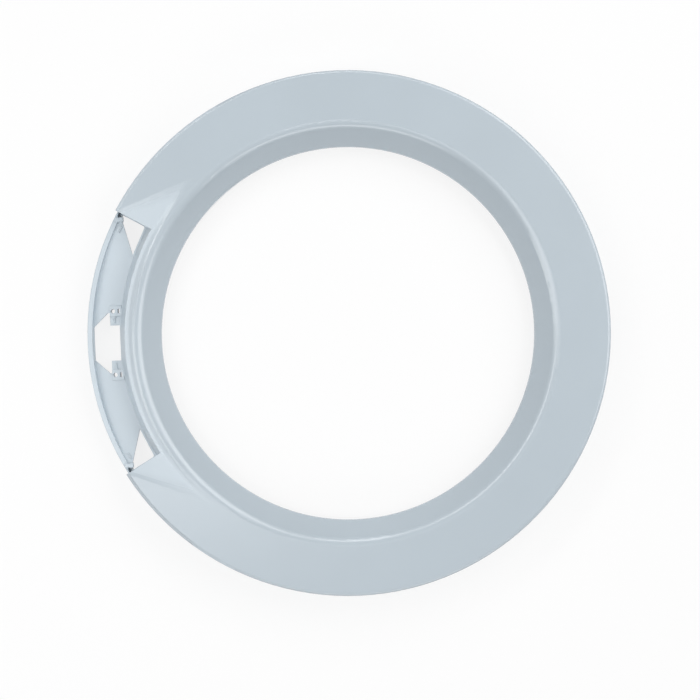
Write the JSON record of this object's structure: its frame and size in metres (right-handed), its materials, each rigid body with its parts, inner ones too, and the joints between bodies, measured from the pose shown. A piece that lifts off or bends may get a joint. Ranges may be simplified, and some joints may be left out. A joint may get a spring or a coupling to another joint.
{
  "type": "washing machine door frame",
  "caption": "Round moulded outer door frame with a coned opening and a side recess with a finger scoop for a crescent pull handle.",
  "frame": {"origin": "on the ring's axis, in the plane of the back rim", "axes": "+Z out of the front face along the ring's axis, -X through the middle of the handle recess"},
  "size_m": [0.44, 0.44, 0.036],
  "materials": {
    "shell": "glossy moulded, light bluish grey"
  },
  "bodies": {
    "root": {"door_frame": "shell"}
  },
  "joints": []
}
